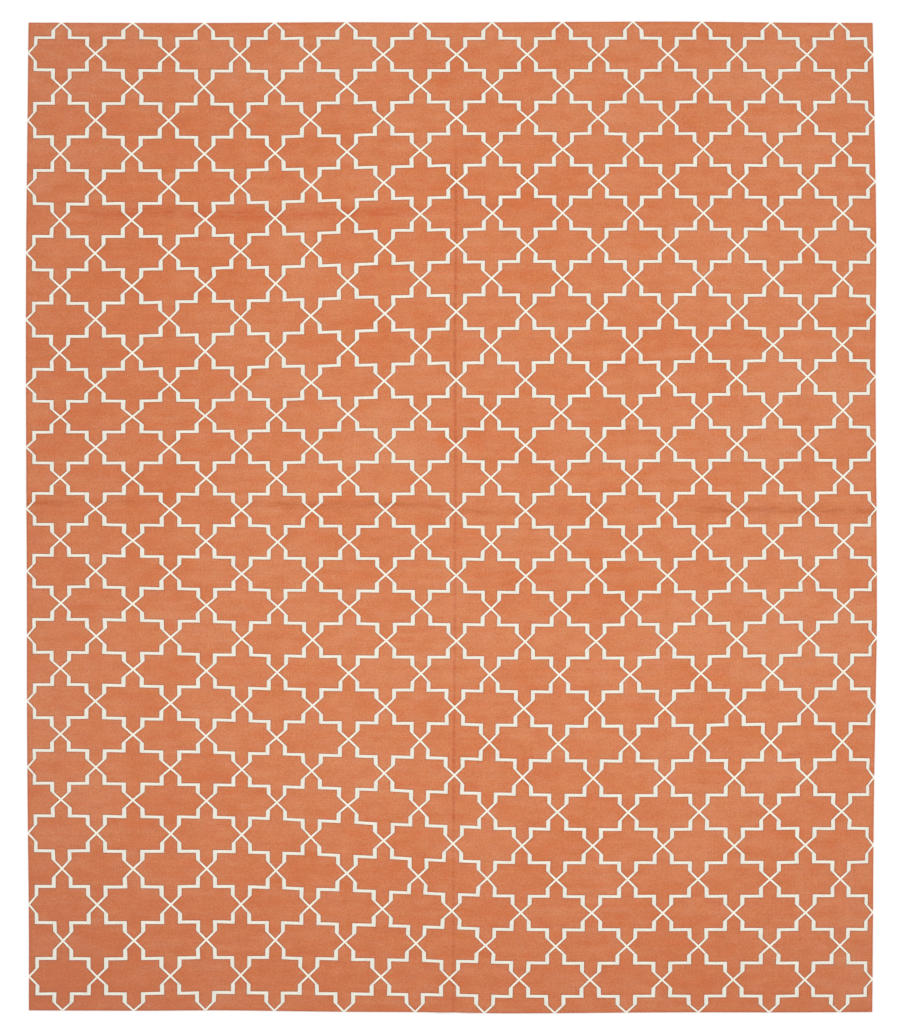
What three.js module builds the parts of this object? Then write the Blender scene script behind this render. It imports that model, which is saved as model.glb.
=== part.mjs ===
import * as THREE from 'three';

// A flat-woven kilim that lies face up on the floor, in millimetres, with +Z up.
// The origin is on the floor under the middle of the rug. +X runs across it and +Y along it.
// Places on the cloth are measured across from its left edge and along from its near end.

// Driving sizes
const rugWidth = 2600;        // from selvedge to selvedge at the widest place
const rugLength = 3030;       // from end to end at the longest place
const clothThickness = 3;     // one layer of a firm weft-faced weave
const widestGridStep = 200;   // the plain cloth needs no closer lines than this

// How far the two long edges draw in from the full width, by distance along the rug
const sideEdges = [
  { along: 0, left: 9, right: 14 },
  { along: 275, left: 9, right: 12 },
  { along: 655, left: 5, right: 9 },
  { along: 1000, left: 3, right: 3 },
  { along: 1225, left: 3, right: 0 },
  { along: 1985, left: 0, right: 4 },
  { along: 2365, left: 1, right: 2 },
  { along: 2650, left: 4, right: 6 },
  { along: 3030, left: 8, right: 13 },
];

// How far the two woven ends draw in from the full length, by distance across the rug
const wovenEnds = [
  { across: 0, near: 9, far: 3 },
  { across: 350, near: 8, far: 4 },
  { across: 600, near: 9, far: 4 },
  { across: 950, near: 5, far: 2 },
  { across: 1300, near: 3, far: 3 },
  { across: 1465, near: 0, far: 2 },
  { across: 1980, near: 3, far: 0 },
  { across: 2320, near: 3, far: 3 },
  { across: 2600, near: 4, far: 4 },
];

// Marks of the folds in which the rug was stored: low ridges, and shallow troughs between two soft
// shoulders. A lengthwise mark lies startAt to endAt across the rug, at its near and far ends, and
// a crosswise one lies startAt to endAt along it, at its left and right edges. It shows only in the
// stretch between from and to. middle is how far it lifts the cloth on its own line, before how far
// at its left or near shoulder, and beyond how far at its right or far one.
const lengthwiseMarks = [
  { startAt: 668, endAt: 668, from: 100, to: 2400, before: 0.3, middle: 1, beyond: 0.2 },
  { startAt: 1314, endAt: 1314, from: -200, to: 2750, before: 2.4, middle: 0, beyond: 1.7 },
  { startAt: 1960, endAt: 1960, from: 30, to: 2400, before: 0.5, middle: 1.4, beyond: 0.3 },
];
const crosswiseMarks = [
  { startAt: 2458, endAt: 2500, from: 120, to: 1230, before: 0, middle: 2.4, beyond: 1.7 },
  { startAt: 2458, endAt: 2500, from: 1300, to: 2700, before: 0, middle: 1.5, beyond: 1 },
  { startAt: 1572, endAt: 1548, from: -100, to: 260, before: 1.4, middle: 0, beyond: 1.4 },
  { startAt: 1572, endAt: 1548, from: 620, to: 1540, before: 0, middle: 2.3, beyond: 1.6 },
  { startAt: 1572, endAt: 1548, from: 1930, to: 2700, before: 0, middle: 2.7, beyond: 2 },
];
const shoulderOffset = 34;    // from a mark's line to each shoulder
const markReach = 95;         // from a mark's line to where the cloth is flat again
const fadeLength = 150;       // over which a mark dies away at each end of its stretch
const gridOffsets = [11, 22, shoulderOffset, 60, markReach];    // grid lines on each side of a mark

// Reads one column of a table at a place between its rows, on a smooth curve through the rows.
function readTable(rows, placeColumn, valueColumn, place) {
  const last = rows.length - 1;
  let row = 0;
  while (row < last - 1 && place > rows[row + 1][placeColumn]) row += 1;
  const slopeAt = (index) => {
    const before = rows[Math.max(index - 1, 0)];
    const after = rows[Math.min(index + 1, last)];
    return (after[valueColumn] - before[valueColumn]) / (after[placeColumn] - before[placeColumn]);
  };
  const start = rows[row];
  const end = rows[row + 1];
  const span = end[placeColumn] - start[placeColumn];
  const t = THREE.MathUtils.clamp((place - start[placeColumn]) / span, 0, 1);
  const rise = end[valueColumn] - start[valueColumn];
  const startBend = slopeAt(row) * span - rise;
  const endBend = rise - slopeAt(row + 1) * span;
  return start[valueColumn] + rise * t + t * (1 - t) * (startBend * (1 - t) + endBend * t);
}

// How far a mark lifts the cloth at a signed distance from its line
function markHeight(mark, distance) {
  const shoulder = distance < 0 ? mark.before : mark.beyond;
  const d = Math.abs(distance);
  if (d >= markReach) return 0;
  if (d <= shoulderOffset) {
    return THREE.MathUtils.lerp(mark.middle, shoulder, Math.sin((Math.PI / 2) * (d / shoulderOffset)));
  }
  const fall = (d - shoulderOffset) / (markReach - shoulderOffset);
  return shoulder * (1 + Math.cos(Math.PI * fall)) / 2;
}

// How strongly a mark shows at a place along its own length, from 0 to 1
function strengthAt(mark, place) {
  const fadeIn = THREE.MathUtils.smoothstep(place, mark.from, mark.from + fadeLength);
  const fadeOut = THREE.MathUtils.smoothstep(place, mark.to - fadeLength, mark.to);
  return fadeIn * (1 - fadeOut);
}

// Height of the cloth's underside above the floor
function liftAt(across, along) {
  let lift = 0;
  for (const mark of lengthwiseMarks) {
    const middle = THREE.MathUtils.lerp(mark.startAt, mark.endAt, along / rugLength);
    lift = Math.max(lift, strengthAt(mark, along) * markHeight(mark, across - middle));
  }
  for (const mark of crosswiseMarks) {
    const middle = THREE.MathUtils.lerp(mark.startAt, mark.endAt, across / rugWidth);
    lift = Math.max(lift, strengthAt(mark, across) * markHeight(mark, along - middle));
  }
  return lift;
}

// Grid lines in one direction. Each has a place at its start and at its end, so that the lines
// beside a slanting mark run with it. Wide gaps between them are shared out evenly.
function gridLines(total, marks) {
  const fixedLines = [{ start: 0, end: 0 }, { start: total, end: total }];
  const seen = new Set();
  for (const mark of marks) {
    if (seen.has(mark.startAt)) continue;
    seen.add(mark.startAt);
    fixedLines.push({ start: mark.startAt, end: mark.endAt });
    for (const offset of gridOffsets) {
      fixedLines.push({ start: mark.startAt - offset, end: mark.endAt - offset });
      fixedLines.push({ start: mark.startAt + offset, end: mark.endAt + offset });
    }
  }
  fixedLines.sort((a, b) => a.start - b.start);
  const lines = [fixedLines[0]];
  for (let index = 1; index < fixedLines.length; index += 1) {
    const previous = fixedLines[index - 1];
    const next = fixedLines[index];
    const steps = Math.ceil((next.start - previous.start) / widestGridStep);
    for (let step = 1; step <= steps; step += 1) {
      lines.push({
        start: THREE.MathUtils.lerp(previous.start, next.start, step / steps),
        end: THREE.MathUtils.lerp(previous.end, next.end, step / steps),
      });
    }
  }
  return lines;
}

// Place of a point of the cloth in the frame, drawn in to the uneven edges
function placeOnCloth(across, along) {
  const left = readTable(sideEdges, 'along', 'left', along);
  const right = rugWidth - readTable(sideEdges, 'along', 'right', along);
  const near = readTable(wovenEnds, 'across', 'near', across);
  const far = rugLength - readTable(wovenEnds, 'across', 'far', across);
  return {
    x: THREE.MathUtils.lerp(left, right, across / rugWidth) - rugWidth / 2,
    y: THREE.MathUtils.lerp(near, far, along / rugLength) - rugLength / 2,
  };
}

// The cloth as one closed sheet: an upper and a lower face on the same grid, joined round the edge
function clothGeometry() {
  const columns = gridLines(rugWidth, lengthwiseMarks);
  const rows = gridLines(rugLength, crosswiseMarks);
  const positions = [];
  for (const layer of [0, clothThickness]) {
    for (const row of rows) {
      for (const column of columns) {
        const across = THREE.MathUtils.lerp(column.start, column.end, row.start / rugLength);
        const along = THREE.MathUtils.lerp(row.start, row.end, across / rugWidth);
        const place = placeOnCloth(across, along);
        positions.push(place.x, place.y, liftAt(across, along) + layer);
      }
    }
  }
  const lastRow = rows.length - 1;
  const lastColumn = columns.length - 1;
  const lower = (row, column) => row * columns.length + column;
  const upper = (row, column) => rows.length * columns.length + lower(row, column);
  const faces = [];
  const addQuad = (a, b, c, d) => faces.push(a, b, c, a, c, d);
  for (let row = 0; row < lastRow; row += 1) {
    const next = row + 1;
    for (let column = 0; column < lastColumn; column += 1) {
      const beside = column + 1;
      addQuad(upper(row, column), upper(row, beside), upper(next, beside), upper(next, column));
      addQuad(lower(row, column), lower(next, column), lower(next, beside), lower(row, beside));
    }
    addQuad(lower(row, lastColumn), lower(next, lastColumn), upper(next, lastColumn), upper(row, lastColumn));
    addQuad(lower(next, 0), lower(row, 0), upper(row, 0), upper(next, 0));
  }
  for (let column = 0; column < lastColumn; column += 1) {
    const beside = column + 1;
    addQuad(lower(0, column), lower(0, beside), upper(0, beside), upper(0, column));
    addQuad(lower(lastRow, beside), lower(lastRow, column), upper(lastRow, column), upper(lastRow, beside));
  }
  const geometry = new THREE.BufferGeometry();
  geometry.setAttribute('position', new THREE.Float32BufferAttribute(positions, 3));
  geometry.setIndex(faces);
  geometry.computeVertexNormals();
  return geometry;
}

const terracottaWool = new THREE.MeshStandardMaterial({ color: 0xd48058, roughness: 0.92, metalness: 0 });

const wovenPanel = new THREE.Mesh(clothGeometry(), terracottaWool);
wovenPanel.name = 'woven_panel';

const rug = new THREE.Group();
rug.add(wovenPanel);

export default rug;
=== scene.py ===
import math
import bpy
import numpy as np
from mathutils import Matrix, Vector, noise
from mathutils.geometry import delaunay_2d_cdt


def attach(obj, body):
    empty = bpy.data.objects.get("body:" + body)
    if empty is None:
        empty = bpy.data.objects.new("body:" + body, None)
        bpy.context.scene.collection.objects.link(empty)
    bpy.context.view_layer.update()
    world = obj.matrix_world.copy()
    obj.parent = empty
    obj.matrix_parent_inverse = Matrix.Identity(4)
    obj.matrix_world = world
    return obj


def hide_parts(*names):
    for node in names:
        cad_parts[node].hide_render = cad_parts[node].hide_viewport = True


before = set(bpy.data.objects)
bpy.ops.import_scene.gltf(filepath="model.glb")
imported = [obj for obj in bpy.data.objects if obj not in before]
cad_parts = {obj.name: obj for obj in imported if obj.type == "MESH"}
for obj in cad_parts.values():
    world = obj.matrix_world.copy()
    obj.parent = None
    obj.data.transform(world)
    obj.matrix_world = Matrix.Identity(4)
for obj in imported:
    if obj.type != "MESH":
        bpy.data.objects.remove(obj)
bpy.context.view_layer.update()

# A flat-woven kilim that lies face up on the floor. Blender's units are metres, and the sizes of the
# cloth are in millimetres: across from its left edge, and along from its near end.
mm = 0.001

cloth = {
    "width": 2600,              # selvedge to selvedge at the widest place
    "length": 3030,
    "thickness": 3,
    "shoulderOffset": 34,       # from the line of a fold mark to each of its soft shoulders
    "markReach": 95,            # from that line to where the cloth is flat again
    "fadeLength": 150,          # over which a mark dies away at the ends of its stretch
    "waveHeight": 0.5,          # the cloth never lies quite flat
    "waveLength": 170,
    "waveSlice": 3,             # which slice through the noise gives the waves
    "rimDrop": 0.8,             # how far the upper face comes down at the outer edge
    "rimInset": 1.2,            # and how far the lower face turns in and up there
    "rimRise": 0.4,
    "sharpAngle": 32,           # in degrees: edges that bend more than this are drawn sharp
}

# How far the edges draw in from the full width and length
sideEdges = {
    "along": [0, 275, 655, 1000, 1225, 1985, 2365, 2650, 3030],
    "left": [9, 9, 5, 3, 3, 0, 1, 4, 8],
    "right": [14, 12, 9, 3, 0, 4, 2, 6, 13],
}
wovenEnds = {
    "across": [0, 350, 600, 950, 1300, 1465, 1980, 2320, 2600],
    "near": [9, 8, 9, 5, 3, 0, 3, 3, 4],
    "far": [3, 4, 4, 2, 3, 2, 0, 3, 4],
}

# Marks of the folds in which the rug was stored. A lengthwise mark lies startAt to endAt across the
# rug, at its near and far ends, and a crosswise one startAt to endAt along it, at its two sides.
# middle is how far the cloth lifts on the line itself, before and beyond how far at its shoulders.
lengthwiseMarks = [
    {"startAt": 668, "endAt": 668, "from": 100, "to": 2400, "before": 0.3, "middle": 1, "beyond": 0.2},
    {"startAt": 1314, "endAt": 1314, "from": -200, "to": 2750, "before": 2.4, "middle": 0, "beyond": 1.7},
    {"startAt": 1960, "endAt": 1960, "from": 30, "to": 2400, "before": 0.5, "middle": 1.4, "beyond": 0.3},
]
crosswiseMarks = [
    {"startAt": 2458, "endAt": 2500, "from": 120, "to": 1230, "before": 0, "middle": 2.4, "beyond": 1.7},
    {"startAt": 2458, "endAt": 2500, "from": 1300, "to": 2700, "before": 0, "middle": 1.5, "beyond": 1},
    {"startAt": 1572, "endAt": 1548, "from": -100, "to": 260, "before": 1.4, "middle": 0, "beyond": 1.4},
    {"startAt": 1572, "endAt": 1548, "from": 620, "to": 1540, "before": 0, "middle": 2.3, "beyond": 1.6},
    {"startAt": 1572, "endAt": 1548, "from": 1930, "to": 2700, "before": 0, "middle": 2.7, "beyond": 2},
]

# The net of eight-pointed stars, in columns across and rows along. Two lines cross where one of the
# two counts is whole and the other is a half.
lattice = {
    "columns": 12,
    "rows": 15,
    "pointWidth": 52.4,         # between the middles of the two upright bars of a star's point
    "barWidth": 11.8,           # upright bars are the widest lines
    "ledgeWidth": 8.1,
    "slantWidth": 5.5,
    "meshStep": 16.5,           # the widest spacing of mesh points
    "lineStep": 3,              # how closely a line is sampled, to keep other mesh points off it
    "seamDrop": 0.4,            # how far both colours come down where they meet
    "groundSlope": 5,           # the width over which they do
    "netSlope": 1.3,
    "netCrown": 0.15,           # the pale lines stand up this much in their middle
    "driftFade": 0.15,          # this close to an edge, in columns or rows, the drift dies away
    "wobbleAcross": 3,          # no line is quite straight: how far it strays, and over what length
    "wobbleAlong": 1.4,
    "wobbleLength": 70,
    "wobbleSlices": [0.5, 9.5],  # which slices through the noise give it, across and along
}

# How far the weaver's rows wander towards the far end, at five places across the rug
rowDriftAt = {"left": 210, "leftQuarter": 760, "middle": 1310, "rightQuarter": 1850, "right": 2390}
rowDrift = {
    "row": [0, 0.5, 2.5, 3.5, 4.5, 5.5, 6.5, 8.5, 9.5, 10.5, 11.5, 12.5, 14.5, 15],
    "left": [0, 3, 39, 40, 40, 38, 35, 10, -2, -2, 0, 0, 7, 0],
    "leftQuarter": [0, 8, 32, 31, 28, 28, 26, 13, 5, 7, 8, 4, 3, 0],
    "middle": [0, 4, 11, 18, 25, 26, 25, 19, 17, 23, 24, 19, 3, 0],
    "rightQuarter": [0, -1, 4, 9, 20, 25, 22, 20, 18, 23, 23, 17, 0, 0],
    "right": [0, -1, 6, 12, 28, 34, 29, 24, 27, 22, 25, 19, 4, 0],
}
# How far its columns wander to the right, at four places along the rug
columnDriftAt = {"near": 100, "lower": 700, "upper": 2020, "far": 2930}
columnDrift = {
    "column": [0, 1, 2, 3, 4, 5, 6, 7, 8, 9, 10, 11, 12],
    "near": [0, -5, 3, 3, -5, 0, -4, -5, -3, 1, 4, 9, 3],
    "lower": [-4, -7, 6, 8, 6, 13, 10, 4, 4, 5, 4, 9, 7],
    "upper": [-2, -5, 5, 7, 6, 14, 16, 13, 13, 12, 9, 9, 3],
    "far": [-3, -9, -1, 0, 0, 9, 18, 19, 21, 19, 14, 11, 2],
}


def curveThrough(places, values, at):
    # A smooth curve through a table's values, which may differ from point to point
    places = np.array(places, float)
    values = np.array(values, float)
    if values.ndim == 1:
        values = np.repeat(values[:, None], len(at), 1)
    last = len(places) - 1
    before = np.maximum(np.arange(last + 1) - 1, 0)
    after = np.minimum(np.arange(last + 1) + 1, last)
    slopes = (values[after] - values[before]) / (places[after] - places[before])[:, None]
    row = np.clip(np.searchsorted(places, at, side="right") - 1, 0, last - 1)
    point = np.arange(len(at))
    span = places[row + 1] - places[row]
    t = np.clip((at - places[row]) / span, 0, 1)
    start = values[row, point]
    rise = values[row + 1, point] - start
    startBend = slopes[row, point] * span - rise
    endBend = rise - slopes[row + 1, point] * span
    return start + rise * t + t * (1 - t) * (startBend * (1 - t) + endBend * t)


def smoothStep(value, low, high):
    t = np.clip((value - low) / (high - low), 0, 1)
    return t * t * (3 - 2 * t)


def markHeight(mark, distance):
    # How far a fold mark lifts the cloth at a signed distance from its line
    offset = cloth["shoulderOffset"]
    shoulder = np.where(distance < 0, mark["before"], mark["beyond"])
    d = np.abs(distance)
    inside = mark["middle"] + (shoulder - mark["middle"]) * np.sin(np.pi / 2 * np.minimum(d / offset, 1))
    fall = np.clip((d - offset) / (cloth["markReach"] - offset), 0, 1)
    return np.where(d <= offset, inside, shoulder * (1 + np.cos(np.pi * fall)) / 2)


def strengthAt(mark, place):
    fade = cloth["fadeLength"]
    fadeIn = smoothStep(place, mark["from"], mark["from"] + fade)
    return fadeIn * (1 - smoothStep(place, mark["to"] - fade, mark["to"]))


def liftAt(across, along):
    # Height of the cloth's underside above the floor
    lift = np.zeros(len(across))
    for mark in lengthwiseMarks:
        middle = mark["startAt"] + (mark["endAt"] - mark["startAt"]) * along / cloth["length"]
        lift = np.maximum(lift, strengthAt(mark, along) * markHeight(mark, across - middle))
    for mark in crosswiseMarks:
        middle = mark["startAt"] + (mark["endAt"] - mark["startAt"]) * across / cloth["width"]
        lift = np.maximum(lift, strengthAt(mark, across) * markHeight(mark, along - middle))
    spots = np.column_stack([across, along, np.full(len(across), cloth["waveSlice"])])
    waves = [noise.noise(Vector(spot) / cloth["waveLength"]) for spot in spots]
    return lift + cloth["waveHeight"] * (1 + np.array(waves)) / 2


def placeOnCloth(across, along):
    # Place of a point of the cloth in the frame, drawn in to the uneven edges
    left = curveThrough(sideEdges["along"], sideEdges["left"], along)
    right = cloth["width"] - curveThrough(sideEdges["along"], sideEdges["right"], along)
    near = curveThrough(wovenEnds["across"], wovenEnds["near"], across)
    far = cloth["length"] - curveThrough(wovenEnds["across"], wovenEnds["far"], across)
    x = left + (right - left) * across / cloth["width"] - cloth["width"] / 2
    y = near + (far - near) * along / cloth["length"] - cloth["length"] / 2
    return x, y


columnPitch = cloth["width"] / lattice["columns"]
rowPitch = cloth["length"] / lattice["rows"]


def wovenPlace(column, row):
    # Across and along for a point of the net, with the weaver's drift
    evenAcross = column * columnPitch
    evenAlong = row * rowPitch
    risen = [curveThrough(rowDrift["row"], rowDrift[place], row) for place in rowDriftAt]
    moved = [curveThrough(columnDrift["column"], columnDrift[place], column) for place in columnDriftAt]
    spots = np.column_stack([evenAcross, evenAlong]) / lattice["wobbleLength"]
    slices = lattice["wobbleSlices"]
    wobble = np.array([[noise.noise(Vector((*spot, at))) for at in slices] for spot in spots])
    fromSide = np.minimum(column, lattice["columns"] - column)
    fromEnd = np.minimum(row, lattice["rows"] - row)
    risen = curveThrough(list(rowDriftAt.values()), risen, evenAcross)
    moved = curveThrough(list(columnDriftAt.values()), moved, evenAlong)
    moved += lattice["wobbleAcross"] * wobble[:, 0]
    risen += smoothStep(fromEnd, 0, lattice["driftFade"]) * lattice["wobbleAlong"] * wobble[:, 1]
    return evenAcross + smoothStep(fromSide, 0, lattice["driftFade"]) * moved, evenAlong + risen


def starSide():
    # One side of the pale line in a quarter of a star, from above the star's centre round to its right
    halfAcross = columnPitch / 2
    halfAlong = rowPitch / 2
    slope = rowPitch / columnPitch
    upright = (lattice["pointWidth"] - lattice["barWidth"]) / 2
    farUpright = halfAcross - (lattice["pointWidth"] + lattice["barWidth"]) / 2
    ledge = (halfAlong - lattice["ledgeWidth"]) / 2
    slantTop = halfAlong - lattice["slantWidth"] / 2 * math.hypot(1, slope)
    return [Vector(p) for p in (
        (0, slantTop),
        (upright, slantTop - upright * slope),
        (upright, ledge),
        (farUpright, ledge),
        (farUpright, slantTop - farUpright * slope),
        (slantTop / slope, 0),
    )]


def divided(points, step):
    # The same line with its sides cut into equal parts no longer than step
    result = []
    for start, end in zip(points, points[1:]):
        count = math.ceil((end - start).length / step)
        result += [start.lerp(end, k / count) for k in range(count)]
    return result + [points[-1]]


def freePoints(half, lines):
    # An even grid over a quarter star, less the points that come too close to a line
    step = lattice["meshStep"]
    gridAcross = math.ceil(half.x / step)
    gridAlong = math.ceil(half.y / step)
    onLines = [q for line in lines for q in divided(line, lattice["lineStep"])]
    free = []
    for i in range(1, gridAcross):
        for j in range(1, gridAlong):
            p = Vector((half.x * i / gridAcross, half.y * j / gridAlong))
            if min((p - q).length for q in onLines) > step / 2:
                free.append(p)
    return free


def quarterStar():
    # Mesh of a quarter of a star, the pale line beside it and what it meets of the next star
    half = Vector((columnPitch / 2, rowPitch / 2))
    step = lattice["meshStep"]
    corner = Vector((0, 0))
    side = starSide()
    otherSide = [half - p for p in reversed(side)]
    line = divided(side, step)
    otherLine = [half - p for p in reversed(line)]
    middle = [(a + b) / 2 for a, b in zip(side, otherSide)]
    middle = divided([Vector((0, half.y)), *middle[1:-1], Vector((half.x, 0))], step)[1:-1]
    starRing = divided([corner, side[-1]], step)[:-1] + line[::-1] + divided([side[0], corner], step)[1:-1]
    netRing = line + [Vector((half.x, 0))] + otherLine[::-1] + [Vector((0, half.y))]
    nextRing = [half - p for p in starRing]
    points = starRing + netRing + nextRing + middle + freePoints(half, [side, otherSide])
    netAt = len(starRing)
    nextAt = netAt + len(netRing)
    end = nextAt + len(nextRing)
    rings = [list(range(netAt)), list(range(netAt, nextAt)), list(range(nextAt, end))]
    insideOnly = 1              # leaves out the triangles outside the rings
    sameWithin = 0.01           # points closer than this are one
    points, _, triangles, _, _, owners = delaunay_2d_cdt(points, [], rings, insideOnly, sameWithin)
    return np.array(points), np.array(triangles), np.array([owner[0] for owner in owners])


def yarnTone(points):
    # How far the pale yarn goes from the slants' white to the upright bars' grey
    slack = 0.1
    barAt = lattice["pointWidth"] / 2
    fromBar = np.minimum(abs(points[:, 0] - barAt), abs(columnPitch / 2 - points[:, 0] - barAt))
    fromLedge = abs(points[:, 1] - rowPitch / 4)
    tone = np.where(fromLedge < lattice["ledgeWidth"] / 2 + slack, ecru["ledgeTone"], 0)
    return np.where(fromBar < lattice["barWidth"] / 2 + slack, 1, tone)


def tiled(wanted):
    # The quarter star turned over and over to fill the cloth. wanted is the rings to keep: the star's,
    # the pale line's and the next star's are 0, 1 and 2.
    points, triangles, owners = quarterStar()
    kept = triangles[np.isin(owners, wanted)]
    ofNext = np.isin(np.arange(len(points)), triangles[owners == 2])
    tone = yarnTone(points)
    placesInRow = 4 * lattice["columns"]    # more than a row of stars needs
    columns, rows, faces, stars = [], [], [], []
    for i in range(2 * lattice["columns"]):
        for j in range(2 * lattice["rows"]):
            turned = (i + j) % 2
            u = points[:, 0] / columnPitch
            columns.append(i / 2 + (0.5 - u if turned else u))
            rows.append(j / 2 + points[:, 1] / rowPitch)
            faces.append((kept[:, ::-1] if turned else kept) + len(faces) * len(points))
            starColumn = i + np.where(ofNext, 1 - turned, turned)
            stars.append((j + ofNext) * placesInRow + starColumn)
    column, row, faces = np.concatenate(columns), np.concatenate(rows), np.concatenate(faces)
    # Points that the tiles share become one point
    used = np.unique(faces)
    finest = 20000              # steps in one column or row, to tell points apart
    across = np.round(column * finest).astype(np.int64)
    along = np.round(row * finest).astype(np.int64)
    key = across * (along.max() + 1) + along
    _, first, place = np.unique(key[used], return_index=True, return_inverse=True)
    lookup = np.zeros(len(column), int)
    lookup[used] = place.ravel()
    chosen = used[first]
    return {
        "column": column[chosen],
        "row": row[chosen],
        "faces": lookup[faces],
        "star": np.concatenate(stars)[chosen],
        "tone": np.tile(tone, len(columns))[chosen],
    }


def openEdges(faces):
    # Directed edges that only one triangle uses
    edges = np.concatenate([faces[:, [0, 1]], faces[:, [1, 2]], faces[:, [2, 0]]])
    size = faces.max() + 1
    code = edges[:, 0] * size + edges[:, 1]
    back = edges[:, 1] * size + edges[:, 0]
    return edges[~np.isin(code, back)]


def insetShift(count, edges, outward, inset):
    # How far each point moves so that both of its open edges come in by their own inset
    arriving, leaving = np.zeros((count, 3)), np.zeros((count, 3))
    arriving[edges[:, 1]] = np.column_stack([outward, inset])
    leaving[edges[:, 0]] = np.column_stack([outward, inset])
    ax, ay, aInset = arriving.T
    bx, by, bInset = leaving.T
    leastTurn = 0.2             # less than this is no corner
    turn = ax * by - ay * bx    # sine of the angle between the two
    corner = np.abs(turn) > leastTurn
    safeTurn = np.where(corner, turn, 1)
    atCorner = np.stack([bInset * ay - aInset * by, aInset * bx - bInset * ax], 1) / safeTurn[:, None]
    # Along a straight run the point goes in by the mean of the two insets
    straight = -(arriving[:, :2] + leaving[:, :2]) / 2 * (aInset + bInset)[:, None] / 2
    return np.where(corner[:, None], atCorner, straight)


dyePatches = [    # soft patches that took more dye, or less where depth is below 0
    {"across": 330, "along": 2100, "wide": 500, "long": 800, "depth": 3.5},
    {"across": 1300, "along": 1170, "wide": 2500, "long": 180, "depth": -2.5},
    {"across": 1300, "along": 100, "wide": 4000, "long": 700, "depth": 5},
    {"across": 200, "along": 80, "wide": 500, "long": 300, "depth": 2},
    {"across": 100, "along": 870, "wide": 320, "long": 450, "depth": -3.5},
    {"across": 2500, "along": 180, "wide": 320, "long": 320, "depth": -4},
    {"across": 600, "along": 2620, "wide": 900, "long": 520, "depth": 2.2},
    {"across": 1110, "along": 1720, "wide": 300, "long": 400, "depth": -2.5},
    {"across": 2370, "along": 1870, "wide": 350, "long": 1200, "depth": -2.5},
    {"across": 2370, "along": 1110, "wide": 400, "long": 300, "depth": -3},
    {"across": 840, "along": 2910, "wide": 500, "long": 150, "depth": -1.5},
    {"across": 1450, "along": 2500, "wide": 900, "long": 330, "depth": 2.5},
    {"across": 0, "along": 1500, "wide": 900, "long": 4000, "depth": 3},
]
edgeShading = {    # painted shade, darker and greyer towards the edges where the light falls off: how much, and how far in it reaches
    "left": {"amount": 0.115, "reach": 1400},
    "near": {"amount": 0.128, "reach": 1200},
    "right": {"amount": 0.045, "reach": 900},
    "far": {"amount": 0.055, "reach": 900},
}
# Along the fold marks the colour is painted darker and a shade redder, as painted shade in the creases.
# Each line runs through its own places, which lie along the rug for the lengthwise marks and across it
# for the crosswise ones. kept is the share of its red, green and blue that is left there.
foldShades = {
    "centreTint": {
        "crosswise": False, "width": 9, "kept": (0.87, 0.74, 0.74, 1),
        "places": [0, 500, 560, 1000, 1450, 1650, 1780, 2040, 2100, 2300, 2380, 2540, 2640, 2730],
        "line": [1308, 1308, 1309, 1309, 1310, 1313, 1313, 1313, 1312, 1314, 1314, 1314, 1314, 1314],
        "tint": [0.65, 0.65, 1, 0.8, 0.75, 1.1, 1.3, 1.3, 1.2, 1, 1.2, 1.1, 0.4, 0],
    },
    "rightQuarterTint": {
        "crosswise": False, "width": 9, "kept": (0.87, 0.74, 0.72, 1),
        "places": [700, 780, 1420, 1500],
        "line": [1957] * 4,
        "tint": [0, 0.15, 0.15, 0],
    },
    "farTint": {
        "crosswise": True, "width": 32, "kept": (0.93, 0.76, 0.72, 1),
        "places": [20, 160, 320, 530, 790, 1060, 1190, 1250, 1500, 2100, 2340, 2600],
        "line": [2447, 2447, 2447, 2444, 2438, 2447, 2451, 2452, 2476, 2478, 2485, 2485],
        "tint": [0.1, 0.45, 0.75, 0.75, 0.85, 0.85, 0.7, 0, 0, 0.05, 0.2, 0.15],
    },
    "middleTint": {
        "crosswise": True, "width": 21, "kept": (0.86, 0.75, 0.67, 1),
        "places": [60, 200, 420, 650, 760, 900, 1240, 1320, 1510, 1580, 1980, 2080, 2600],
        "line": [1556, 1560, 1562, 1558, 1552, 1550, 1554, 1534, 1533, 1538, 1542, 1538, 1537],
        "tint": [0.9, 0.4, 0.25, 0.25, 0.75, 0.6, 0.75, 0.6, 0.55, 0.2, 0.2, 1, 0.75],
    },
}
starDye = {"spread": 0.7, "seed": 11}    # how much one star's dye differs from the next


def clothFields(atPoints, across, along):
    # What the finishes read at each point of the cloth
    depth = np.zeros(len(across))
    for patch in dyePatches:
        far = np.hypot((across - patch["across"]) / patch["wide"], (along - patch["along"]) / patch["long"])
        depth += patch["depth"] * (1 - smoothStep(far, 0, 1))
    stars, place = np.unique(atPoints["star"], return_inverse=True)
    starDepth = np.random.default_rng(starDye["seed"]).normal(0, starDye["spread"], len(stars))
    inwards = {
        "left": across,
        "near": along,
        "right": cloth["width"] - across,
        "far": cloth["length"] - along,
    }
    # Painted shade: darker and greyer towards the edges, standing in for the light falling off there
    shadeAndSoil = np.zeros(len(across))
    for side, edge in edgeShading.items():
        shadeAndSoil += edge["amount"] * (1 - np.clip(inwards[side] / edge["reach"], 0, 1)) ** 2
    fields = {
        "clothPlace": np.stack([across, along, across * 0], 1),
        "dye": depth + starDepth[place.ravel()],
        "shadeAndSoil": shadeAndSoil,
        "fromRim": np.min(list(inwards.values()), axis=0),
        "tone": atPoints["tone"],
        "seam": atPoints["seam"],
    }
    # Where the painted shade of each fold mark lies, and how strong it is
    for name, fold in foldShades.items():
        run, side = (across, along) if fold["crosswise"] else (along, across)
        line = np.interp(run, fold["places"], fold["line"])
        tint = np.interp(run, fold["places"], fold["tint"])
        fields[name] = np.stack([side - line, tint, tint * 0], 1)
    return fields


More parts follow.
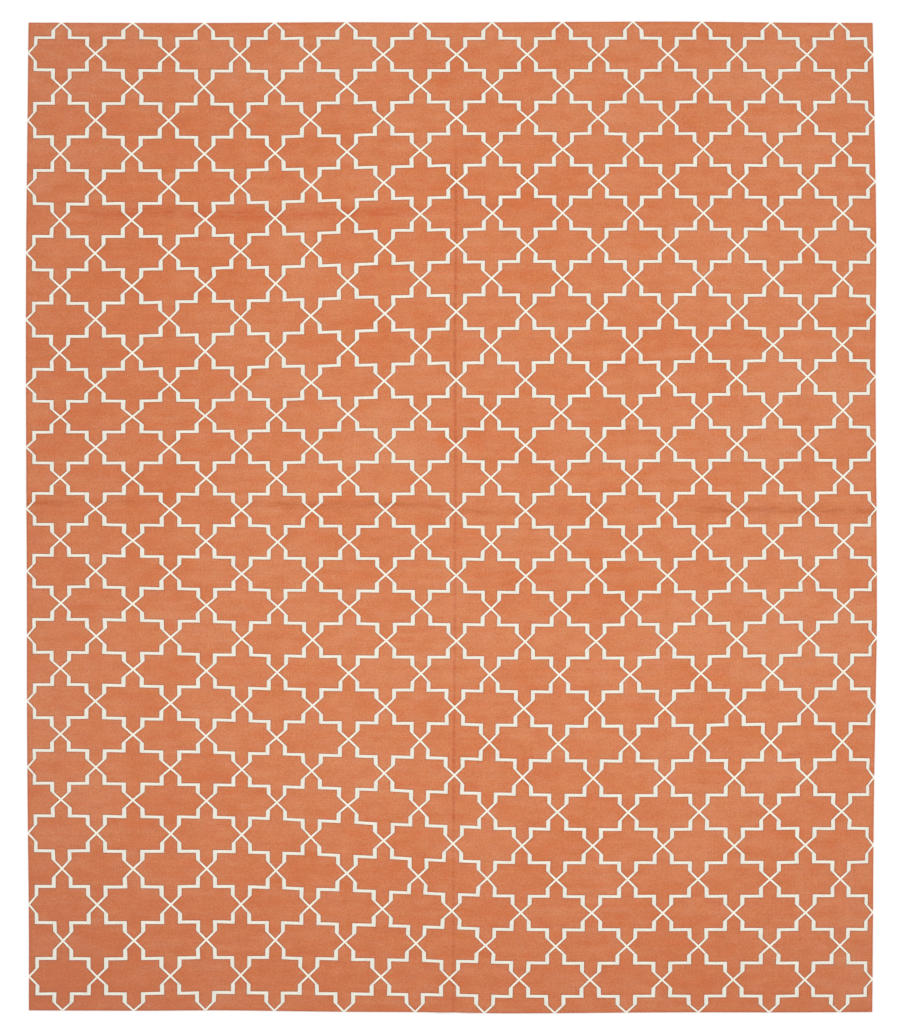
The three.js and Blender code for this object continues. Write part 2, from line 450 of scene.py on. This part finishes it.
def sheetShape(tiles, across, along, slope, crown):
    # Where the points of a sheet of one colour lie. Its upper face comes down a little towards each
    # open edge, over the width of the slope, to a line on the edge itself, the ring.
    column, row = tiles["column"], tiles["row"]
    edges = openEdges(tiles["faces"])
    nearZero = 0.0001
    sides = np.stack([column < nearZero, lattice["columns"] - column < nearZero,
                      row < nearZero, lattice["rows"] - row < nearZero])
    outer = (sides[:, edges[:, 0]] & sides[:, edges[:, 1]]).any(0)
    onRim = sides.any(0)
    places = np.stack(placeOnCloth(across, along), 1)
    run = places[edges[:, 1]] - places[edges[:, 0]]
    outward = np.stack([run[:, 1], -run[:, 0]], 1) / np.linalg.norm(run, axis=1)[:, None]
    count = len(places)
    ring = np.unique(edges)
    rise = np.full(count, crown, float)
    rise[ring] = 0
    return {
        "faces": tiles["faces"],
        "edges": edges,
        "ring": ring,
        "onRim": onRim,
        "outward": outward,
        "places": places,
        "topShift": insetShift(count, edges, outward, np.full(len(edges), slope)),
        "bottomShift": insetShift(count, edges, outward, outer * cloth["rimInset"]),
        "lift": liftAt(across, along),
        "rise": rise,
        "ringHeight": cloth["thickness"] - np.where(onRim, cloth["rimDrop"], lattice["seamDrop"]),
    }


def sheetMesh(name, sheet):
    # The closed mesh: an upper and a lower face, joined by a slope and a wall along each open edge
    places, lift, ring = sheet["places"], sheet["lift"], sheet["ring"]
    count = len(places)
    ringIndex = np.zeros(count, int)
    ringIndex[ring] = 2 * count + np.arange(len(ring))
    points = np.concatenate([
        np.column_stack([places + sheet["topShift"], lift + cloth["thickness"] + sheet["rise"]]),
        np.column_stack([places + sheet["bottomShift"], lift + sheet["onRim"] * cloth["rimRise"]]),
        np.column_stack([places, lift + sheet["ringHeight"]])[ring],
    ])
    c, d = sheet["edges"].T
    slopes = np.stack([d, c, ringIndex[c], ringIndex[d]], 1)
    walls = np.stack([ringIndex[d], ringIndex[c], c + count, d + count], 1)
    triangles = np.concatenate([sheet["faces"], sheet["faces"][:, ::-1] + count])
    mesh = bpy.data.meshes.new(name)
    mesh.from_pydata(points * mm, [], triangles.tolist() + slopes.tolist() + walls.tolist())
    mesh.polygons.foreach_set("use_smooth", [True] * len(mesh.polygons))
    mesh.set_sharp_from_angle(angle=math.radians(cloth["sharpAngle"]))
    return mesh


bakeMap = {
    "topShare": 0.64,           # the upper face gets most of the map's width
    "gap": 0.006,               # between the two faces
    "spare": 20,                # round the cloth, in millimetres, for the walls
}


def bakeCorners(sheet):
    # The map for a bake: the upper face with the walls folded out round it, and the lower face beside it
    size = np.array([cloth["width"], cloth["length"]]) + bakeMap["spare"]
    gap, share = bakeMap["gap"], bakeMap["topShare"]
    topScale = np.array([share - gap, 1]) / size
    mapTop = (sheet["places"] + sheet["topShift"] + size / 2) * topScale
    mapEdge = (sheet["places"] + size / 2) * topScale
    bottomPlaces = sheet["places"] + sheet["bottomShift"]
    mapBottom = (bottomPlaces / size + 0.5) * (1 - share - gap, 1) + (share + gap, 0)
    c, d = sheet["edges"].T
    foldOut = sheet["outward"] * topScale * sheet["ringHeight"][c][:, None]
    return np.concatenate([
        mapTop[sheet["faces"]].reshape(-1, 2),
        mapBottom[sheet["faces"][:, ::-1]].reshape(-1, 2),
        np.stack([mapTop[d], mapTop[c], mapEdge[c], mapEdge[d]], 1).reshape(-1, 2),
        np.stack([mapEdge[d], mapEdge[c], mapEdge[c] + foldOut, mapEdge[d] + foldOut], 1).reshape(-1, 2),
    ])


def clothPiece(name, wanted, slope, crown, material):
    # The part of the cloth that is woven in one colour
    tiles = tiled(wanted)
    across, along = wovenPlace(tiles["column"], tiles["row"])
    sheet = sheetShape(tiles, across, along, slope, crown)
    mesh = sheetMesh(name, sheet)
    layer = mesh.uv_layers.new(name="OFBake")
    layer.uv.foreach_set("vector", bakeCorners(sheet).astype(np.float32).ravel())

    # What the finishes read, on the upper face, the lower face and the ring
    ring = sheet["ring"]
    count = len(across)
    copies = np.concatenate([np.arange(count), np.arange(count), ring])
    moved = np.concatenate([sheet["topShift"], sheet["bottomShift"], np.zeros((len(ring), 2))])
    # Painted shade in the grooves where the colours meet, and half as much along the outer edge
    seam = np.where(sheet["onRim"], 0.5, 1)[ring]
    atPoints = {
        "star": tiles["star"][copies],
        "tone": tiles["tone"][copies],
        "seam": np.concatenate([np.zeros(2 * count), seam]),
    }
    fields = clothFields(atPoints, across[copies] + moved[:, 0], along[copies] + moved[:, 1])
    for field, values in fields.items():
        kind, part = ("FLOAT_VECTOR", "vector") if values.ndim == 2 else ("FLOAT", "value")
        attribute = mesh.attributes.new(field, kind, "POINT")
        attribute.data.foreach_set(part, values.astype(np.float32).ravel())

    mesh.materials.append(material)
    piece = bpy.data.objects.new(name, mesh)
    bpy.context.scene.collection.objects.link(piece)
    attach(piece, "root")
    print(name, sum(len(p.vertices) - 2 for p in mesh.polygons), "triangles")
    return piece


class Wire:
    # A socket that can be used in sums: every operator adds one Math node
    def __init__(self, finish, socket):
        self.finish = finish
        self.socket = socket

    def sum(self, operation, *values):
        return self.finish.add("Math", {"operation": operation}, dict(enumerate(values)))

    def __add__(self, other):
        return self.sum("ADD", self, other)

    def __radd__(self, other):
        return self.sum("ADD", other, self)

    def __sub__(self, other):
        return self.sum("SUBTRACT", self, other)

    def __rsub__(self, other):
        return self.sum("SUBTRACT", other, self)

    def __mul__(self, other):
        return self.sum("MULTIPLY", self, other)

    def __rmul__(self, other):
        return self.sum("MULTIPLY", other, self)

    def __truediv__(self, other):
        return self.sum("DIVIDE", self, other)

    def __rtruediv__(self, other):
        return self.sum("DIVIDE", other, self)

    def __abs__(self):
        return self.sum("ABSOLUTE", self)

    def floor(self):
        return self.sum("FLOOR", self)

    def cosine(self):
        return self.sum("COSINE", self)

    def smooth(self, low, high):
        # 0 below low, 1 above high, with soft ends
        return self.finish.add("MapRange", {"interpolation_type": "SMOOTHSTEP"},
                               {"Value": self, "From Min": low, "From Max": high})


class Finish:
    # One material's nodes
    seedShift = (7.3, 3.1, 1)    # how far each seed moves the clouds

    def __init__(self, name):
        self.material = bpy.data.materials.new(name)
        self.material.use_nodes = True
        self.tree = self.material.node_tree
        self.tree.nodes.clear()

    def add(self, kind, settings={}, sockets={}, output=0):
        # A node: its settings first, then the values or links of its sockets
        node = self.tree.nodes.new("ShaderNode" + kind)
        for name, value in settings.items():
            setattr(node, name, value)
        for name, value in sockets.items():
            socket = self.find(node.inputs, name)
            if isinstance(value, Wire):
                self.tree.links.new(value.socket, socket)
            else:
                socket.default_value = value
        return Wire(self, self.find(node.outputs, output)) if len(node.outputs) else None

    def find(self, sockets, name):
        if isinstance(name, int):
            return sockets[name]
        return next(s for s in sockets if name in (s.identifier, s.name))

    def field(self, name, output="Fac"):
        return self.add("Attribute", {"attribute_name": name}, {}, output)

    def part(self, vector, axis):
        return self.add("SeparateXYZ", {}, {"Vector": vector}, axis)

    def blend(self, amount, first, second, way="MIX"):
        return self.add("Mix", {"data_type": "RGBA", "blend_type": way},
                        {"Factor_Float": amount, "A_Color": first, "B_Color": second}, "Result_Color")

    def cloud(self, acrossSize, alongSize, detail=1, roughness=0.5, seed=0):
        # Soft noise about 0, whose patches are about so many millimetres across and along
        scaled = self.add("Mapping", {}, {"Vector": self.field("clothPlace", "Vector"),
                                          "Scale": (1 / acrossSize, 1 / alongSize, 1),
                                          "Location": [seed * shift for shift in self.seedShift]})
        return self.add("TexNoise", {"normalize": False},
                        {"Vector": scaled, "Scale": 1, "Detail": detail, "Roughness": roughness})

    def finished(self, sockets):
        shader = self.add("BsdfPrincipled", {}, sockets)
        self.add("OutputMaterial", {}, {"Surface": shader})
        return self.material


def linear(red, green, blue):
    # A colour as it is read off a screen, from 0 to 255, as Blender's linear colour
    return tuple(((c / 255 + 0.055) / 1.055) ** 2.4 for c in (red, green, blue)) + (1,)


weave = {
    "ribPitch": 4.4,            # one warp bundle to the next
    "ribHeight": 0.28,
    "beatPitch": 1.5,           # one turn of the weft to the next
    "weftHeight": 0.13,
    "fuzzHeight": 0.5,
    "fuzzAcross": 9,
    "fuzzAlong": 5,
    "wander": 0.25,             # how many ribs a warp strays to its side
    "wanderAcross": 30,
    "wanderAlong": 300,
    "bumpStrength": 0.9,
    "bumpDepth": 0.7,
    "roughness": 0.92,
    "gloss": 0.15,
    "sheen": 0.06,
}


def weaveNormal(finish):
    # Lengthwise ribs over the warps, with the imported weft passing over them
    fullTurn = 2 * math.pi
    place = finish.field("clothPlace", "Vector")
    stray = finish.cloud(weave["wanderAcross"], weave["wanderAlong"], seed=4) * weave["wander"]
    turns = finish.part(place, "X") / weave["ribPitch"] + stray
    rib = (turns * fullTurn).cosine() * weave["ribHeight"]
    beats = finish.part(place, "Y") / weave["beatPitch"] + turns.floor() * 0.5
    weft = (beats * fullTurn).cosine() * weave["weftHeight"]
    fuzz = finish.cloud(weave["fuzzAcross"], weave["fuzzAlong"], detail=2, seed=9) * weave["fuzzHeight"]
    height = rib + weft + fuzz
    return finish.add("Bump", {}, {"Strength": weave["bumpStrength"], "Distance": weave["bumpDepth"] * mm,
                                   "Height": height}, "Normal")


def woolShader(finish, colour):
    return finish.finished({
        "Base Color": colour,
        "Roughness": weave["roughness"],
        "Specular IOR Level": weave["gloss"],
        "Sheen Weight": weave["sheen"],
        "Normal": weaveNormal(finish),
    })


foldShadeBand = {    # painted shade across a fold mark, in shares of its width
    "coreTo": 0.3,              # how far its dark core reaches
    "coreShare": 0.35,          # how much of the mark is the core's
    "bandFrom": 0.25,           # the softer band round it dies away from here to there
    "bandTo": 0.8,
    "patchAcross": 60,
    "patchAlong": 8,
    "patchy": 1.1,
}


def foldShaded(finish, colour):
    # Painted shade: the cloth is darker and a shade redder along the fold marks, most of all on the line
    # itself
    patches = finish.cloud(foldShadeBand["patchAcross"], foldShadeBand["patchAlong"], detail=2, seed=12)
    patchy = 1 + patches * foldShadeBand["patchy"]
    coreShare = foldShadeBand["coreShare"]
    for name, fold in foldShades.items():
        field = finish.field(name, "Vector")
        away = abs(finish.part(field, "X")) / fold["width"]
        pastCore = away.smooth(0, foldShadeBand["coreTo"])
        pastBand = away.smooth(foldShadeBand["bandFrom"], foldShadeBand["bandTo"])
        band = 1 - pastCore * coreShare - pastBand * (1 - coreShare)
        tint = band * finish.part(field, "Y") * patchy
        colour = finish.blend(tint, colour, fold["kept"], "MULTIPLY")
    return colour


def clouds(finish, table):
    # A sum of soft noises, one for each row of a table
    total = 0
    for row in table:
        total = total + finish.cloud(row["across"], row["along"], seed=row["seed"]) * row["amount"]
    return total


def lit(finish, colour, light):
    return finish.add("VectorMath", {"operation": "SCALE"}, {"Vector": colour, "Scale": light}, "Vector")


terracotta = {
    "faded": linear(216, 139.5, 98.5),
    "deep": linear(209, 114.5, 69),
    "span": 20,                         # depth of dye from the one to the other
    "rimDepth": 6,                      # the colour is deeper and darker close to the edge, and this fades out between these distances from the edge
    "rimFrom": 2,                       # between these distances from the edge
    "rimTo": 10,
    # the colour that painted shade at the edges and in the seams, and a little soil all over, pull towards
    "shadeAndSoil": linear(102, 82, 84),
    "soilAllOver": 0.012,
    "shadeInSeams": 0.3,                 # how much painted shade lies in the grooves where the colours meet
    "yellower": (1, 1, 0.9, 1),         # one yarn is a shade more yellow, and the next more pink
    "pinker": (1, 1, 1.1, 1),
}
# Uneven dye, from wide clouds to single yarns, and two sizes of streak along the weft
terracottaDye = [
    {"across": 330, "along": 200, "seed": 1, "amount": 4},
    {"across": 120, "along": 60, "seed": 2, "amount": 4.4},
    {"across": 50, "along": 30, "seed": 3, "amount": 5.5},
    {"across": 12, "along": 9, "seed": 5, "amount": 4.5},
    {"across": 4, "along": 3.5, "seed": 8, "amount": 10},
    {"across": 500, "along": 5, "seed": 7, "amount": 2.2},
    {"across": 500, "along": 20, "seed": 18, "amount": 3},
]
terracottaHue = [
    {"across": 5, "along": 4, "seed": 15, "amount": 1.25},
    {"across": 60, "along": 30, "seed": 17, "amount": 0.5},
]
terracottaLight = [
    {"across": 60, "along": 30, "seed": 13, "amount": 0.04},
    {"across": 11, "along": 8, "seed": 14, "amount": 0.035},
    {"across": 6, "along": 3.5, "seed": 6, "amount": 0.135},
    {"across": 3, "along": 2.4, "seed": 16, "amount": 0.14},
]


def terracottaWool():
    finish = Finish("terracottaWool")
    atRim = 1 - finish.field("fromRim").smooth(terracotta["rimFrom"], terracotta["rimTo"])
    depth = finish.field("dye") + atRim * terracotta["rimDepth"] + clouds(finish, terracottaDye)
    colour = finish.blend(depth / terracotta["span"] + 0.5, terracotta["faded"], terracotta["deep"])
    # Painted shade in the grooves where the colours meet, and half as much at the outer edge
    seamShade = finish.field("seam") * terracotta["shadeInSeams"]
    # Painted shade towards the edges and in the seams, with a little soil all over
    shadeAndSoil = finish.field("shadeAndSoil") + seamShade + terracotta["soilAllOver"]
    colour = foldShaded(finish, finish.blend(shadeAndSoil, colour, terracotta["shadeAndSoil"]))
    hue = finish.blend(clouds(finish, terracottaHue) + 0.5, terracotta["yellower"], terracotta["pinker"])
    colour = finish.blend(1, colour, hue, "MULTIPLY")
    return woolShader(finish, lit(finish, colour, clouds(finish, terracottaLight) + 1))


ecru = {
    "slant": linear(245.5, 243.5, 228),     # the thin slanting lines are the whitest
    "bar": linear(232.5, 231.5, 218.5),     # the upright bars are a shade greyer
    "ledgeTone": 0.55,                      # and the ledges this far from the one to the other
    # the colour that painted shade towards the edges pulls the pale yarn towards
    "shadeAndSoil": linear(120, 118, 112),
    "edgeShadeShare": 0.5,                       # the painted edge shade shows this much on the pale yarn
}
ecruTone = [
    {"across": 60, "along": 60, "seed": 10, "amount": 0.4},
]
ecruLight = [
    {"across": 6, "along": 3.5, "seed": 6, "amount": 0.06},
    {"across": 3, "along": 2.4, "seed": 16, "amount": 0.06},
]


def ecruWool():
    finish = Finish("ecruWool")
    tone = finish.field("tone") + clouds(finish, ecruTone)
    colour = finish.blend(tone, ecru["slant"], ecru["bar"])
    # Painted shade towards the edges, on the pale yarn too
    colour = finish.blend(finish.field("shadeAndSoil") * ecru["edgeShadeShare"], colour, ecru["shadeAndSoil"])
    return woolShader(finish, lit(finish, colour, clouds(finish, ecruLight) + 1))


floorFinish = {
    "reach": 60,                # to each side, in metres, so that a low view still ends on it
    "colour": (0.95, 0.95, 0.95, 1),
    "roughness": 0.9,
    "gloss": 0.1,
}


def paleFloor():
    reach = floorFinish["reach"]
    mesh = bpy.data.meshes.new("floor")
    mesh.from_pydata([(-reach, -reach, 0), (reach, -reach, 0), (reach, reach, 0), (-reach, reach, 0)],
                     [], [(0, 1, 2, 3)])
    mesh.materials.append(Finish("paleFloor").finished({
        "Base Color": floorFinish["colour"],
        "Roughness": floorFinish["roughness"],
        "Specular IOR Level": floorFinish["gloss"],
    }))
    floor = bpy.data.objects.new("floor", mesh)
    bpy.context.scene.collection.objects.link(floor)
    return floor


studio = {
    "skyStrength": 0.838,
    "keyStrength": 1.02,
    "keyFrom": (0.35, 0.9, 1.25),       # the soft main light comes over the far end
    "keyAngle": 25,                     # in degrees, how wide the light is
    "photoHeight": 3153,                # what the picture takes in from top to bottom
    "lens": 85,
    "sensor": 36,
    "lookAt": (-4.3, 4.4),              # the place on the rug that it looks straight down on
}


def lightStudio():
    scene = bpy.context.scene
    scene.world = bpy.data.worlds.new("studio")
    scene.world.use_nodes = True
    sky = scene.world.node_tree.nodes["Background"]
    sky.inputs["Color"].default_value = (1, 1, 1, 1)
    sky.inputs["Strength"].default_value = studio["skyStrength"]
    sun = bpy.data.lights.new("key", "SUN")
    sun.energy = studio["keyStrength"]
    sun.angle = math.radians(studio["keyAngle"])
    key = bpy.data.objects.new("key", sun)
    key.rotation_euler = Vector(studio["keyFrom"]).to_track_quat("Z", "Y").to_euler()
    scene.collection.objects.link(key)
    scene.view_settings.view_transform = "Standard"


def placeCamera():
    camera = bpy.data.cameras.new("camera")
    camera.lens = studio["lens"]
    camera.sensor_width = studio["sensor"]
    away = studio["photoHeight"] * mm * studio["lens"] / studio["sensor"]
    rig = bpy.data.objects.new("camera", camera)
    rig.location = (studio["lookAt"][0] * mm, studio["lookAt"][1] * mm, away + cloth["thickness"] * mm)
    bpy.context.scene.collection.objects.link(rig)
    bpy.context.scene.camera = rig


placeCamera()
lightStudio()
floor = paleFloor()
print("camera, light and floor are set")
ground = clothPiece("terracottaGround", [0, 2], lattice["groundSlope"], 0, terracottaWool())
trellis = clothPiece("starTrellis", [1], lattice["netSlope"], lattice["netCrown"], ecruWool())
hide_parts("woven_panel")
print("the rug is laid")
